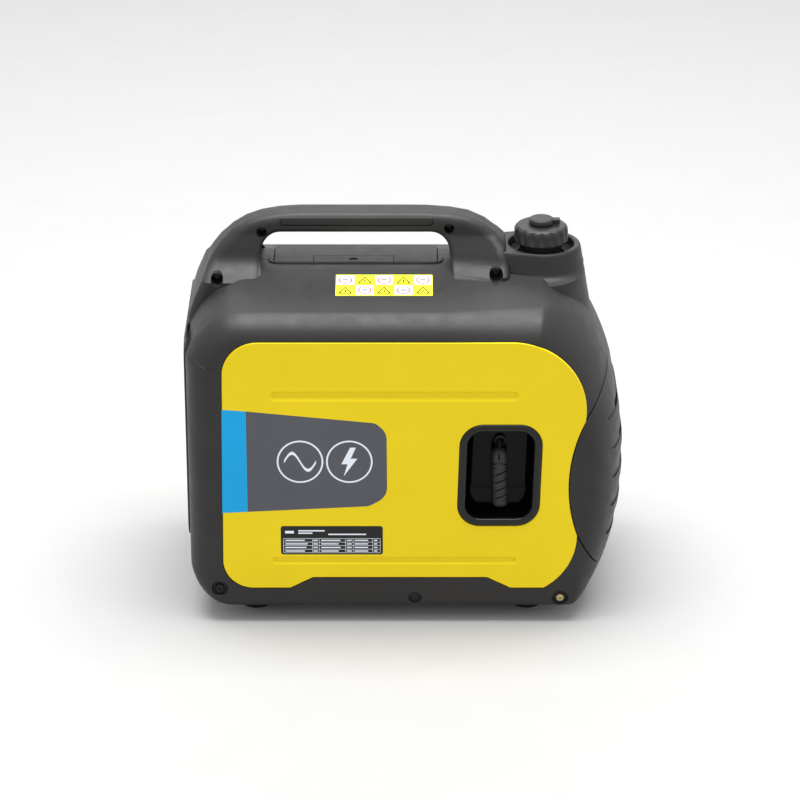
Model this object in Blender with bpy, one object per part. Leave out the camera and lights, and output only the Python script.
"""Portable inverter generator of the suitcase kind, as separate pieces.

Metres, +Z up. The origin is on the ground under the middle of the machine. The front side
faces -Y, the control panel faces -X and the air outlet faces +X. Run it with
blender --background --python part.py, or from Blender's text editor.
"""

import math

import bmesh
import bpy
from mathutils import Matrix, Vector

# Overall size
LENGTH = 0.499
DEPTH = 0.285
HEIGHT = 0.455

# Clearances
TOUCH_GAP = 0.0003
SEAM_GAP = 0.0008
RUN_GAP = 0.0006

# Casing: two half shells that meet on the plane y = 0
WALL = 0.003
FACE_WALL = 0.006
PANEL_PROUD = 0.0008
END_PROUD = 0.0025
CASE_BOTTOM = 0.020
DECK_HEIGHT = 0.392
DECK_FLAT = 0.034
FRONT_DECK_SLOPE = 0.207
REAR_DECK_SLOPE = 0.32
CREST_ANGLE = math.radians(75)
CORNER_STEPS = 6
ROUND_STEPS = 3

# Rounding of the casing's rim: (across the outline, along Y)
ROUND_TOP = (0.023, 0.037)
ROUND_BOTTOM = (0.007, 0.007)
ROUND_LEFT = (0.034, 0.034)
ROUND_RIGHT = (0.046, 0.100)

# Front panel, its outline in (x, z)
PANEL_THICK = 0.0028
PANEL_LEFT = -0.2085
PANEL_TOP = 0.349
PANEL_BOTTOM = 0.0446
PANEL_STEP = 0.0135
CUSP_HIGH = (0.2016, 0.253)
CUSP_LOW = (0.1947, 0.1105)
RIB_HIGH_Z = 0.284
RIB_LOW_Z = 0.0795
RIB_HALF = 0.005
RIB_ENDS = (-0.152, 0.127)
RIB_DEEP = 0.0014

# Handle
HANDLE_HALF = 0.020
HANDLE_LEAN = 0.32
HANDLE_SPREAD = 0.020
GRIP_TALL = 0.023
OPENING_ENDS = (-0.161, 0.047)
OPENING_SILL = 0.410

# Starter recess
BEZEL_MIDDLE = (0.106, 0.1866)
BEZEL_SIZE = (0.0925, 0.1255)
BEZEL_BAND = 0.009
BEZEL_FLANGE = 0.0030
POCKET_DEEP = 0.041
POCKET_WALL = 0.002
BEZEL_ROUND = 0.026

# Starter
CRANK_X = 0.040
CRANK_Z = 0.165
CORD_X = 0.107
CORD_Z = 0.214
CORD_RADIUS = 0.0023
GRIP_WIDE = 0.017
GRIP_DEEP = 0.018
GRIP_LOW = 0.1365
GRIP_HIGH = 0.209
GRIP_FRONT = -0.127
REEL_Y = (-0.088, -0.070)
REEL_FLANGE = 0.054
RECOIL_RADIUS = 0.076
RECOIL_FRONT = -0.0965
RECOIL_BACK = -0.060
AXLE_RADIUS = 0.006
GUIDE_RADIUS = 0.007
CORD_KNOT_Z = 0.203
LEG_RADIUS = 0.005
LEG_ANGLES = (20, 184, 285)
COIL_ANGLE = 210

# Engine
ROTOR_RADIUS = 0.066
ROTOR_Y = (-0.054, -0.022)
SHAFT_RADIUS = 0.010
CASE_Y = (-0.012, 0.062)
CYLINDER_LEAN = math.radians(-35)
CYLINDER_HALF = 0.040
CYLINDER_Y = 0.025
CYLINDER_REACH = (0.056, 0.132)
HEAD_LONG = 0.038
FIN_COUNT = 5
FIN_THICK = 0.003
MOUNT_RADIUS = 0.014
MOUNT_TOP = 0.088
MOUNT_LOW = 0.046
MOUNT_X = (-0.004, 0.084)
MOUNT_Y = 0.030
CRANK_WEB = 0.034
PLUG_ACROSS = 0.026
PLUG_RADIUS = 0.006
CARB_REACH = 0.058
OIL_FILLER = Vector((0.100, 0.074, 0.145))
OIL_WAY = Vector((0.35, 0.75, 0.56)).normalized()
MUFFLER_X = (0.128, 0.212)
MUFFLER_Z = (0.105, 0.212)
MUFFLER_HALF = 0.062
MUFFLER_WALL = 0.0025
TAIL_Y = 0.018
TAIL_Z = 0.154
TAIL_RADIUS = 0.013
TAIL_END = 0.2345

# Fuel system
FILLER_X = 0.154
TANK_X = (0.004, 0.178)
TANK_HALF = 0.085
TANK_Z = (0.322, 0.362)
NECK_RADIUS = 0.024
NECK_TOP = 0.424
CAP_RADIUS = 0.0309
CAP_Z = (0.4165, 0.436)
CAP_WALL = 0.003
KNOB_RADIUS = 0.0143
KNOB_TALL = 0.0075
SURROUND_Z = (0.3924, 0.4135)
SURROUND_RADIUS = (0.0435, 0.040)
SURROUND_POCKET = 0.037
SURROUND_FLOOR = 0.401
SURROUND_LEFT = 0.1275
BOSS_FOOT_RADIUS = 0.054
BOSS_FOOT_Z = 0.345

# Base
TRAY_X = (-0.199, 0.186)
TRAY_HALF = 0.124
TRAY_THICK = 0.004
TRAY_RIM = 0.014
FOOT_X = (-0.173, 0.140)
FOOT_Y = 0.090
FOOT_RADIUS = 0.020
PEG_RADIUS = 0.0045

# Control end
CONTROL_HALF = 0.098
CONTROL_Z = (0.092, 0.328)
CONTROL_FLANGE = 0.006
CONTROL_DEEP = 0.016
CONTROL_WALL = 0.003
CONTROL_BAR_Z = 0.262
PLATE_THICK = 0.003
SOCKET_Y = (-0.044, 0.044)
SOCKET_Z = 0.135
SOCKET_RADIUS = 0.0235
COVER_RADIUS = 0.0265
COVER_THICK = 0.004
INVERTER_X = (-0.195, -0.128)
INVERTER_HALF = 0.100

SWITCH = (0.060, 0.224, 0.018)
SWITCH_SHAFT = 0.0045

# Fittings on the control panel: round ones are (y, z, radius), square ones (y, z, wide, tall)
ROUND_FITTINGS = {
    "dc_socket": (0.066, 0.182, 0.0115),
    "ac_breaker": (-0.028, 0.184, 0.0095),
    "dc_breaker": (-0.060, 0.184, 0.0095),
    "earth_terminal": (0.0, 0.106, 0.0065),
}
SQUARE_FITTINGS = {
    "eco_frame": (0.012, 0.224, 0.020, 0.030),
    "usb_socket": (0.016, 0.182, 0.024, 0.028),
    "indicator_strip": (-0.038, 0.226, 0.016, 0.040),
}

# Top lid, between the handle's feet
LID_X = (-0.150, 0.036)
LID_Y = (-0.008, 0.046)
LID_Z = (0.3885, 0.3925)
LATCH_X = (-0.105, -0.014)

# Service cover on the rear
SERVICE_MIDDLE = (-0.03, 0.195)
SERVICE_SIZE = (0.300, 0.270)
SERVICE_WINDOW = (0.250, 0.220)
LOCK_RADIUS = 0.008
LOCK_SPOT = (-0.03, 0.3175)

# Outlet end
LOUVRE_PITCH = 0.036
LOUVRE_LOW = 0.100
LOUVRE_COUNT = 5
LOUVRE_TALL = 0.012
LOUVRE_HALF = 0.075

HALF = Vector((LENGTH / 2, DEPTH / 2, HEIGHT))
CASE_FACE = HALF.y - PANEL_PROUD
CASE_LEFT = -HALF.x + END_PROUD
GUIDE_Y = -CASE_FACE + POCKET_DEEP

LOOKS = {
    "charcoal_plastic": ((0.055, 0.055, 0.058, 1), 0.55, 0.0),
    "yellow_plastic": ((0.82, 0.62, 0.02, 1), 0.35, 0.0),
    "gloss_black": ((0.012, 0.012, 0.013, 1), 0.15, 0.0),
    "black_rubber": ((0.02, 0.02, 0.02, 1), 0.8, 0.0),
    "cast_aluminium": ((0.6, 0.6, 0.6, 1), 0.5, 1.0),
    "steel": ((0.5, 0.5, 0.5, 1), 0.35, 1.0),
    "copper": ((0.7, 0.35, 0.15, 1), 0.35, 1.0),
    "ceramic": ((0.9, 0.9, 0.88, 1), 0.25, 0.0),
    "nylon_cord": ((0.02, 0.02, 0.02, 1), 0.7, 0.0),
    "panel_lens": ((0.1, 0.6, 0.15, 1), 0.1, 0.0),
    "red_plastic": ((0.6, 0.03, 0.02, 1), 0.4, 0.0),
}


# ---------------------------------------------------------------- helpers


def clear_scene():
    for item in list(bpy.data.objects):
        bpy.data.objects.remove(item, do_unlink=True)


def look(name):
    if name in bpy.data.materials:
        return bpy.data.materials[name]
    colour, roughness, metallic = LOOKS[name]
    made = bpy.data.materials.new(name)
    made.use_nodes = True
    shader = made.node_tree.nodes["Principled BSDF"]
    shader.inputs["Base Color"].default_value = colour
    shader.inputs["Roughness"].default_value = roughness
    shader.inputs["Metallic"].default_value = metallic
    return made


def piece(name, bm, finish, origin=(0, 0, 0)):
    """The finished object of a bmesh, with its origin moved to where the piece turns or slides."""
    bmesh.ops.recalc_face_normals(bm, faces=bm.faces)
    bm.transform(Matrix.Translation(-Vector(origin)))
    mesh = bpy.data.meshes.new(name)
    bm.to_mesh(mesh)
    bm.free()
    mesh.shade_smooth()
    mesh.set_sharp_from_angle(angle=math.radians(32))
    mesh.materials.append(look(finish))
    made = bpy.data.objects.new(name, mesh)
    made.location = origin
    bpy.context.scene.collection.objects.link(made)
    return made


def helper(name, bm):
    made = piece(name, bm, "steel")
    made.hide_render = True
    made.display_type = "WIRE"
    return made


def combine(target, operation, shapes):
    for shape in shapes:
        tool = helper(f"{target.name}_{operation.lower()}_{len(target.modifiers)}", shape)
        step = target.modifiers.new(tool.name, "BOOLEAN")
        step.operation = operation
        step.object = tool
        step.solver = "EXACT"


def cut(target, *shapes):
    combine(target, "DIFFERENCE", shapes)


def unite(target, *shapes):
    combine(target, "UNION", shapes)


def fit(target, *shapes):
    combine(target, "INTERSECT", shapes)


def across(axis):
    """How (across, up, along) turns into (x, y, z) for a shape swept along one axis."""
    order = {"X": (2, 0, 1), "Y": (0, 2, 1), "Z": (0, 1, 2)}[axis]
    return lambda *values: Vector(values[place] for place in order)


def prism(outline, low, high, axis="Y"):
    bm = bmesh.new()
    place = across(axis)
    face = bm.faces.new([bm.verts.new(place(a, b, low)) for a, b in outline])
    grown = bmesh.ops.extrude_face_region(bm, geom=[face])["geom"]
    far = [item for item in grown if isinstance(item, bmesh.types.BMVert)]
    bmesh.ops.translate(bm, verts=far, vec=place(0, 0, high - low))
    bmesh.ops.recalc_face_normals(bm, faces=bm.faces)
    return bm


def block(low, high):
    outline = [(low[0], low[1]), (high[0], low[1]), (high[0], high[1]), (low[0], high[1])]
    return prism(outline, low[2], high[2], "Z")


def round_rim(bm, axis, at, width, segments=2):
    """Rounds the edges that lie in the plane where one coordinate equals at."""
    index = "XYZ".index(axis)
    rim = [e for e in bm.edges if all(abs(v.co[index] - at) < 1e-6 for v in e.verts)]
    bmesh.ops.bevel(
        bm, geom=rim, offset=width, segments=segments, profile=0.5, affect="EDGES", material=-1
    )
    return bm


def turned(profile, centre, axis, steps=16):
    """A turned solid: (radius, along) points spun once round an axis through the centre."""
    bm = bmesh.new()
    points = [bm.verts.new((radius, 0, along)) for radius, along in profile]
    edges = [bm.edges.new(pair) for pair in zip(points, points[1:])]
    bmesh.ops.spin(
        bm, geom=points + edges, cent=(0, 0, 0), axis=(0, 0, 1), angle=2 * math.pi,
        steps=steps, use_merge=True, use_duplicate=False,
    )
    bmesh.ops.remove_doubles(bm, verts=bm.verts, dist=1e-6)
    bmesh.ops.recalc_face_normals(bm, faces=bm.faces)
    turn = Vector((0, 0, 1)).rotation_difference(Vector(axis)).to_matrix().to_4x4()
    bm.transform(Matrix.Translation(centre) @ turn)
    return bm


def rod(centre, axis, radius, low, high, steps=12):
    """A plain round rod from low to high along an axis through the centre."""
    return turned([(0, low), (radius, low), (radius, high), (0, high)], centre, axis, steps)


def halved(bm, side):
    """The half of a closed shape that lies on one side of the plane y = 0, closed again."""
    geom = [*bm.verts, *bm.edges, *bm.faces]
    bmesh.ops.bisect_plane(
        bm, geom=geom, plane_co=(0, 0, 0), plane_no=(0, -side, 0), clear_outer=True
    )
    bmesh.ops.holes_fill(bm, edges=[e for e in bm.edges if len(e.link_faces) == 1])
    bmesh.ops.recalc_face_normals(bm, faces=bm.faces)
    return bm


def ring(centre, axis, inner, outer, low, high, steps=16):
    profile = [(inner, low), (outer, low), (outer, high), (inner, high), (inner, low)]
    return turned(profile, centre, axis, steps)


def rounded(corners, steps=3):
    """An outline from (across, up, radius) corners, each rounded by an arc that touches both sides."""
    outline = []
    count = len(corners)
    for index, (a, b, radius) in enumerate(corners):
        here = Vector((a, b))
        if radius == 0:
            outline.append((a, b))
            continue
        back = (Vector(corners[index - 1][:2]) - here).normalized()
        ahead = (Vector(corners[(index + 1) % count][:2]) - here).normalized()
        half = back.angle(ahead) / 2
        reach = radius / math.tan(half)
        start = here + back * reach
        centre = here + (back + ahead).normalized() * radius / math.sin(half)
        spin = (start - centre).angle_signed(here + ahead * reach - centre)
        for step in range(steps + 1):
            turn = Matrix.Rotation(-spin * step / steps, 2)
            outline.append(tuple(centre + turn @ (start - centre)))
    return outline


def arc(start, end, rise, steps=6):
    """Points of an arc from start towards end, with the rise of its middle to the left; end left out."""
    start, end = Vector(start), Vector(end)
    chord = (end - start) / 2
    left = Vector((-chord.y, chord.x)).normalized()
    radius = (chord.length_squared + rise * rise) / (2 * rise)
    centre = start + chord + left * (rise - radius)
    spin = (start - centre).angle_signed(end - centre)
    turns = [Matrix.Rotation(-spin * step / steps, 2) for step in range(steps)]
    return [tuple(centre + turn @ (start - centre)) for turn in turns]


def slab_outline(middle, size, radius, steps=3):
    (a, b), half_a, half_b = middle, size[0] / 2, size[1] / 2
    return rounded(
        [
            (a - half_a, b - half_b, radius), (a + half_a, b - half_b, radius),
            (a + half_a, b + half_b, radius), (a - half_a, b + half_b, radius),
        ],
        steps,
    )


def tube(name, points, radius, finish, resolution=2):
    """A hose or pipe: a poly curve through smooth points, with a round bevel and filled caps."""
    curve = bpy.data.curves.new(name, "CURVE")
    curve.dimensions = "3D"
    curve.bevel_depth = radius
    curve.bevel_resolution = resolution
    curve.use_fill_caps = True
    curve.materials.append(look(finish))
    spline = curve.splines.new("POLY")
    spline.points.add(len(points) - 1)
    for point, place in zip(spline.points, points):
        point.co = (*place, 1)
    made = bpy.data.objects.new(name, curve)
    bpy.context.scene.collection.objects.link(made)
    return made


def smooth_route(knots, steps=5):
    """Points read from a smooth curve through the knots, with short straight ends."""
    knots = [Vector(knot) for knot in knots]
    ends = [2 * knots[0] - knots[1], *knots, 2 * knots[-1] - knots[-2]]
    route = []
    for a, b, c, d in zip(ends, ends[1:], ends[2:], ends[3:]):
        for step in range(steps):
            t = step / steps
            bend = (3 * b - a - 3 * c + d) * t**3 + (2 * a - 5 * b + 4 * c - d) * t**2
            route.append((2 * b + (c - a) * t + bend) / 2)
    first, last = knots[0].lerp(knots[1], 0.12), knots[-1].lerp(knots[-2], 0.12)
    return [route[0], first, *route[1:], last, knots[-1]]


# ---------------------------------------------------------------- casing form


def quarter(centre, reach, start, power=2.0):
    """A quarter of a superellipse from the start angle, in degrees, anticlockwise."""
    points = []
    for step in range(CORNER_STEPS + 1):
        angle = math.radians(start + 90 * step / CORNER_STEPS)
        points.append(
            tuple(
                middle + radius * math.copysign(abs(part) ** (2 / power), part)
                for middle, radius, part in zip(centre, reach, (math.cos(angle), math.sin(angle)))
            )
        )
    return points


def case_outline():
    """The casing's side view, as (x, z) points anticlockwise from the low left corner."""
    low_left = (0.047, 0.048)
    low_right = (0.062, 0.145)
    high_right = (0.100, 0.202)
    high_left = (0.067, 0.075)
    return [
        *quarter((CASE_LEFT + low_left[0], CASE_BOTTOM + low_left[1]), low_left, 180),
        *quarter((HALF.x - low_right[0], CASE_BOTTOM + low_right[1]), low_right, 270),
        *quarter((HALF.x - high_right[0], DECK_HEIGHT - high_right[1]), high_right, 0, 1.7),
        *quarter((CASE_LEFT + high_left[0], DECK_HEIGHT - high_left[1]), high_left, 90),
    ]


def outline_normals(outline):
    normals = []
    for before, after in zip([outline[-1], *outline], [*outline[1:], outline[0]]):
        run = Vector(after) - Vector(before)
        normals.append(Vector((run.y, -run.x)).normalized())
    return normals


def rim_rounding(normal):
    """How far the rim is rounded across the outline and along Y where the outline faces normal."""
    shares = {
        ROUND_TOP: max(normal.y, 0) ** 2, ROUND_BOTTOM: max(-normal.y, 0) ** 2,
        ROUND_RIGHT: max(normal.x, 0) ** 2, ROUND_LEFT: max(-normal.x, 0) ** 2,
    }
    return [sum(share * size[place] for size, share in shares.items()) for place in (0, 1)]


def case_rings(side, wall, face_wall):
    """Rings of (x, y, z) points from the flat face of one side to the plane where the halves meet."""
    outline = case_outline()
    slope = FRONT_DECK_SLOPE if side < 0 else REAR_DECK_SLOPE
    rings = [[] for _ in range(ROUND_STEPS + 3)]
    for point, normal in zip(outline, outline_normals(outline)):
        over, along = (max(size - wall, 0.002) for size in rim_rounding(normal))
        crest = math.pi / 2 + (CREST_ANGLE - math.pi / 2) * max(normal.y, 0) ** 2
        fall = slope * min(max(normal.y, 0) / 0.35, 1)
        stations = []
        for step in range(ROUND_STEPS + 1):
            turn = crest * step / ROUND_STEPS
            depth = CASE_FACE - face_wall - along * (1 - math.cos(turn))
            stations.append((depth, over * (math.sin(crest) - math.sin(turn))))
        stations += [(DECK_FLAT, 0), (0, 0)]
        for place, (depth, inset) in zip(rings, stations):
            flat = Vector(point) - normal * (wall + inset)
            drop = fall * max(depth - DECK_FLAT, 0)
            place.append((flat.x, side * depth, flat.y - drop))
    return rings


def case_form(side, wall=0.0, face_wall=0.0, past=0.0):
    """One solid half of the casing's form, or of its hollow; past carries it over the middle plane."""
    bm = bmesh.new()
    loops = []
    for place in case_rings(side, wall, face_wall):
        loops.append([bm.verts.new(point) for point in place])
    for vert in loops[-1]:
        vert.co.y -= side * past
    for low, high in zip(loops, loops[1:]):
        for index in range(len(low)):
            bm.faces.new((low[index - 1], low[index], high[index], high[index - 1]))
    bm.faces.new(loops[0])
    bm.faces.new(loops[-1])
    bmesh.ops.recalc_face_normals(bm, faces=bm.faces)
    return bm


def panel_outline(gap=0.0):
    """The front panel's outline; a gap draws the concave right side and the edges outward."""
    low, high, left = PANEL_BOTTOM - gap, PANEL_TOP + gap, PANEL_LEFT - gap
    step = low + PANEL_STEP
    top = (CUSP_HIGH[0] + gap, CUSP_HIGH[1])
    bottom = (CUSP_LOW[0] + gap, CUSP_LOW[1])
    right_low = (0.158, low)
    right_high = (0.118, high)
    right_side = [
        *arc(right_low, bottom, -0.010, 4), *arc(bottom, top, 0.014, 7),
        *arc(top, right_high, -0.029, 8), right_high,
    ]
    corners = [
        (left, high, 0.040), (left, low, 0.034), (-0.132, low, 0), (-0.106, step, 0),
        (0.093, step, 0), (0.1195, low, 0), *((x, z, 0) for x, z in right_side),
    ]
    return rounded(corners, 6)


def outlet_outline(gap=0.0):
    """The outlet cover's outline from the front: an arc beside the panel and two slanting seams."""
    top = Vector((CUSP_HIGH[0] + SEAM_GAP + 0.0004 - gap, CUSP_HIGH[1]))
    bottom = Vector((CUSP_LOW[0] + SEAM_GAP + 0.0004 - gap, CUSP_LOW[1]))
    far = HALF.x + 0.02
    up = Vector((0.0285, 0.0355)).normalized()
    down = Vector((0.0190, -0.0350)).normalized()
    lift = Vector((-up.y, up.x)) * gap
    drop = Vector((down.y, -down.x)) * gap
    high = top + lift + up * 0.085
    low = bottom + drop + down * 0.09
    edge = arc(bottom + drop, top + lift, 0.014, 7)
    return [*edge, tuple(top + lift), tuple(high), (far, high.y), (far, low.y), tuple(low)]


# ---------------------------------------------------------------- casing


def handle_outline():
    """The carrying handle from the front, as one bridge whose feet end inside the casing."""
    left, right = OPENING_ENDS
    under = HEIGHT - GRIP_TALL
    return rounded(
        [
            (-0.2480, 0.312, 0), (-0.2440, 0.348, 0.060), (-0.2240, 0.400, 0.080),
            (-0.1950, HEIGHT, 0.050), (0.0700, HEIGHT, 0.060), (0.1260, 0.4060, 0.030),
            (0.1260, 0.378, 0), (right + 0.006, 0.378, 0), (right, under, 0.022),
            (left, under, 0.022), (left - 0.006, 0.378, 0), (left - 0.02, 0.345, 0),
            (-0.236, 0.312, 0),
        ],
        5,
    )


def handle_half(side):
    bm = round_rim(prism(handle_outline(), 0, side * HANDLE_HALF), "Y", side * HANDLE_HALF, 0.007, 2)
    lean_top = HEIGHT - GRIP_TALL - 0.0015
    for z in (lean_top, lean_top - HANDLE_SPREAD / HANDLE_LEAN):
        geom = [*bm.verts, *bm.edges, *bm.faces]
        bmesh.ops.bisect_plane(bm, geom=geom, dist=1e-6, plane_co=(0, 0, z), plane_no=(0, 0, 1))
    for vert in bm.verts:
        spread = HANDLE_LEAN * max(lean_top - vert.co.z, 0)
        vert.co.y += side * min(spread, HANDLE_SPREAD) * min(abs(vert.co.y) / (HANDLE_HALF / 2), 1)
    return bm


def filler_boss(side):
    bm = turned(
        [(0, BOSS_FOOT_Z), (BOSS_FOOT_RADIUS, BOSS_FOOT_Z),
         (SURROUND_RADIUS[0], SURROUND_Z[0] - TOUCH_GAP), (0, SURROUND_Z[0] - TOUCH_GAP)],
        (FILLER_X, 0, 0), (0, 0, 1), 24,
    )
    return halved(bm, side)


def screw_places():
    """The casing screws' holes that open on the front, as (x, z, radius of the sinking)."""
    return [
        (-0.163, 0.433, 0.006), (0.049, 0.437, 0.006), (-0.213, 0.391, 0.0062),
        (0.102, 0.3975, 0.0065), (-0.213, 0.043, 0.009), (0.0107, 0.031, 0.007), (0.177, 0.031, 0.009),
    ]


def casing_half(name, side):
    made = piece(name, case_form(side), "charcoal_plastic")
    unite(made, handle_half(side), filler_boss(side))
    hollow = case_form(side, WALL, FACE_WALL - PANEL_PROUD, past=0.010)
    lid_low = (LID_X[0] - SEAM_GAP, LID_Y[0] - SEAM_GAP, 0.360)
    lid_cut = block(lid_low, (LID_X[1] + SEAM_GAP, LID_Y[1] + SEAM_GAP, 0.3935))
    neck_cut = rod((FILLER_X, 0, 0), (0, 0, 1), 0.031, 0.33, 0.41, 18)
    end_cut = prism(outlet_outline(gap=SEAM_GAP), -0.2, 0.2)
    control_cut = prism(control_outline(TOUCH_GAP), -0.27, -0.232, "X")
    floor_cut = block((-0.13, -0.06, 0.01), (0.10, 0.06, 0.035))
    cut(made, hollow, lid_cut, neck_cut, end_cut, control_cut, floor_cut)
    for x in FOOT_X:
        cut(made, rod((x, side * FOOT_Y, 0), (0, 0, 1), PEG_RADIUS + RUN_GAP, 0.01, 0.03, 12))
    return made


def control_outline(gap=0.0):
    middle = (0, sum(CONTROL_Z) / 2)
    size = (2 * (CONTROL_HALF + gap), CONTROL_Z[1] - CONTROL_Z[0] + 2 * gap)
    return slab_outline(middle, size, 0.018 + gap)


def front_casing():
    made = casing_half("front_casing", -1)
    recess = prism(panel_outline(gap=SEAM_GAP), -0.2, -HALF.y + PANEL_THICK + TOUCH_GAP)
    size = [s - 2 * BEZEL_BAND + 2 * (POCKET_WALL + RUN_GAP) for s in BEZEL_SIZE]
    window = prism(slab_outline(BEZEL_MIDDLE, size, 0.018), -0.2, -0.12)
    cut(made, recess, window)
    for x, z, radius in screw_places():
        floor = sink_floor(x, z)
        cut(made, rod((x, 0, z), (0, 1, 0), radius, floor - 0.020, floor, 12))


def sink_floor(x, z):
    """How deep a screw's sinking goes: into the handle's side, or into the face wall."""
    if z < CRANK_Z:
        return -CASE_FACE + 0.0042
    return -HANDLE_HALF + 0.006 if z > OPENING_SILL else -HANDLE_HALF - 0.002


def rear_casing():
    made = casing_half("rear_casing", 1)
    recess = prism(service_outline(SEAM_GAP), HALF.y - PANEL_THICK - TOUCH_GAP, 0.2)
    window = prism(slab_outline(SERVICE_MIDDLE, SERVICE_WINDOW, 0.014), 0.12, 0.2)
    x, z = LOCK_SPOT
    cut(made, recess, window, rod((x, 0, z), (0, 1, 0), LOCK_RADIUS / 2 + RUN_GAP, 0.1, 0.2, 12))


def service_outline(gap=0.0):
    size = [side + 2 * gap for side in SERVICE_SIZE]
    return slab_outline(SERVICE_MIDDLE, size, 0.03 + gap, 5)


def front_panel():
    outline = panel_outline()
    bm = round_rim(prism(outline, -HALF.y, -HALF.y + PANEL_THICK), "Y", -HALF.y, 0.0006, 1)
    made = piece("front_panel", bm, "yellow_plastic")
    gap = 2 * (TOUCH_GAP + SEAM_GAP)
    hole = slab_outline(BEZEL_MIDDLE, [size + gap for size in BEZEL_SIZE], BEZEL_ROUND + gap / 2)
    cut(made, prism(hole, -0.2, -0.1))
    for z in (RIB_HIGH_Z, RIB_LOW_Z):
        middle = (sum(RIB_ENDS) / 2, z)
        groove = slab_outline(middle, (RIB_ENDS[1] - RIB_ENDS[0], 2 * RIB_HALF), RIB_HALF * 0.9, 3)
        cut(made, prism(groove, -0.2, -HALF.y + RIB_DEEP))


def service_cover():
    outline = service_outline()
    bm = round_rim(prism(outline, HALF.y - PANEL_THICK, HALF.y), "Y", HALF.y, 0.0006, 1)
    made = piece("service_cover", bm, "yellow_plastic")
    size = [side - 2 * RUN_GAP for side in SERVICE_WINDOW]
    lip = prism(slab_outline(SERVICE_MIDDLE, size, 0.0135), HALF.y - 0.008, HALF.y - 0.001)
    inside = [side - 2 * WALL for side in size]
    unite(made, lip)
    cut(made, prism(slab_outline(SERVICE_MIDDLE, inside, 0.011), 0.1, HALF.y - PANEL_THICK))
    x, z = LOCK_SPOT
    cut(made, rod((x, 0, z), (0, 1, 0), LOCK_RADIUS + RUN_GAP, HALF.y - PANEL_THICK / 2, 0.2, 20))
    cut(made, rod((x, 0, z), (0, 1, 0), LOCK_RADIUS / 2 + RUN_GAP, 0.1, 0.2, 16))


def cover_lock():
    """A quarter-turn screw whose slotted head lies flush in the service cover."""
    x, z = LOCK_SPOT
    seat = HALF.y - PANEL_THICK / 2 + TOUCH_GAP
    profile = [(0, 0.1285), (LOCK_RADIUS / 2, 0.1285), (LOCK_RADIUS / 2, seat), (LOCK_RADIUS, seat),
               (LOCK_RADIUS, HALF.y - 0.0003), (0, HALF.y - 0.0003)]
    made = piece("cover_lock", turned(profile, (x, 0, z), (0, 1, 0), 20), "steel", (x, HALF.y, z))
    slot = block((-0.006, -0.0008, -0.001), (0.006, 0.01, 0.001))
    slot.transform(Matrix.Translation((x, HALF.y, z)))
    cut(made, slot)


def outlet_cover():
    """The louvred cover that wraps the outlet end, cut from the casing's own form."""
    made = piece("outlet_cover", case_form(-1), "charcoal_plastic")
    unite(made, case_form(1, past=0.0002))
    hollow = case_form(-1, WALL, FACE_WALL - PANEL_PROUD, past=0.001)
    other = case_form(1, WALL, FACE_WALL - PANEL_PROUD, past=0.001)
    fit(made, prism(outlet_outline(), -0.2, 0.2))
    cut(made, hollow, other)
    cut(made, prism(panel_outline(gap=SEAM_GAP), -0.2, -HALF.y + PANEL_THICK + TOUCH_GAP))
    for index in range(LOUVRE_COUNT):
        z = LOUVRE_LOW + index * LOUVRE_PITCH
        slot = slab_outline((0, z), (2 * LOUVRE_HALF, LOUVRE_TALL), LOUVRE_TALL * 0.45, 3)
        cut(made, prism(slot, 0.23, 0.27, "X"))


def outlet_grille():
    """A perforated guard that stands on the muffler's outlet flange, just inside the louvres."""
    x = TAIL_END - TOUCH_GAP
    middle = LOUVRE_LOW + (LOUVRE_COUNT - 1) * LOUVRE_PITCH / 2
    tall = (LOUVRE_COUNT - 1) * LOUVRE_PITCH + LOUVRE_TALL
    bm = prism(slab_outline((0, middle), (2 * LOUVRE_HALF - 0.014, tall), 0.01), x - 0.0015, x, "X")
    made = piece("outlet_grille", bm, "steel")
    for row in range(LOUVRE_COUNT - 1):
        z = LOUVRE_LOW + (row + 0.5) * LOUVRE_PITCH
        for y in (-0.042, 0.048):
            cut(made, block((0.2, y - 0.014, z - 0.007), (0.26, y + 0.014, z + 0.007)))
    cut(made, rod((0, TAIL_Y, TAIL_Z), (1, 0, 0), TAIL_RADIUS + TOUCH_GAP, 0.2, 0.26, 20))


def starter_bezel():
    """The glossy surround of the starter recess, with its pocket."""
    front = -HALF.y
    back = -CASE_FACE + POCKET_DEEP
    bm = prism(slab_outline(BEZEL_MIDDLE, BEZEL_SIZE, BEZEL_ROUND, 6), front, front + BEZEL_FLANGE)
    made = piece("starter_bezel", round_rim(bm, "Y", front, 0.001, 1), "gloss_black")
    inner = [size - 2 * BEZEL_BAND for size in BEZEL_SIZE]
    outer = [size + 2 * POCKET_WALL for size in inner]
    pocket = BEZEL_ROUND - BEZEL_BAND
    unite(made, prism(slab_outline(BEZEL_MIDDLE, outer, pocket + POCKET_WALL), front + 0.001, back))
    cut(made, prism(slab_outline(BEZEL_MIDDLE, inner, pocket), -0.2, back - POCKET_WALL))
    cut(made, rod((CORD_X, 0, CORD_Z), (0, 1, 0), GUIDE_RADIUS + RUN_GAP, -0.12, -0.08, 20))


def grip_outline():
    """The pull grip from the side, as (y, z), with the cord's lug at the top of its back."""
    back = GRIP_FRONT + GRIP_DEEP
    return rounded(
        [
            (GRIP_FRONT + 0.004, GRIP_LOW, 0.006), (back, GRIP_LOW, 0.004), (back, GRIP_HIGH, 0.005),
            (GRIP_FRONT, GRIP_HIGH, 0.008),
        ],
        4,
    )


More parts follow.
